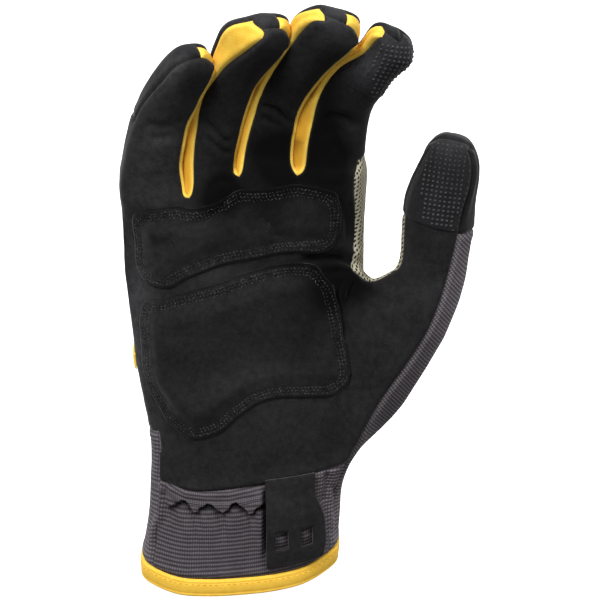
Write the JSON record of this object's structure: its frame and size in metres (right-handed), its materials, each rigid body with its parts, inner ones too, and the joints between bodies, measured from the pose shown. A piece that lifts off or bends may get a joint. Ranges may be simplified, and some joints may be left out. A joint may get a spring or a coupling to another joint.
{
  "type": "work glove",
  "caption": "Right-hand work glove, shown as worn: padded leather palm, ribbed fabric back and gathered cuff, bright finger gussets, dotted grips and a pull tab.",
  "frame": {"origin": "middle of the wrist opening, at the hem", "axes": "+Z from the cuff to the fingertips, -Y out of the palm, +X towards the thumb"},
  "size_m": [0.1459, 0.0635, 0.2459],
  "materials": {
    "leather": "matt black suede",
    "fabric": "dark grey ribbed knit",
    "yellow": "warm yellow knit",
    "mesh": "grey green open mesh",
    "grip": "black with raised dots"
  },
  "bodies": {
    "root": {"palm_leather": "leather", "back_fabric": "fabric", "cuff_front": "fabric", "web_mesh": "mesh", "fourchette_pinky_ring": "yellow", "fourchette_ring_middle": "yellow", "fourchette_middle_index": "yellow", "cap_pinky": "leather", "cap_ring": "leather", "cap_middle": "leather", "cap_index": "leather", "cap_thumb": "leather", "hem_binding": "yellow", "thumb_grip": "grip", "index_grip": "grip", "palm_pad_upper": "leather", "palm_pad_lower": "leather", "side_stripe": "yellow", "pull_tab": "leather"}
  },
  "joints": []
}
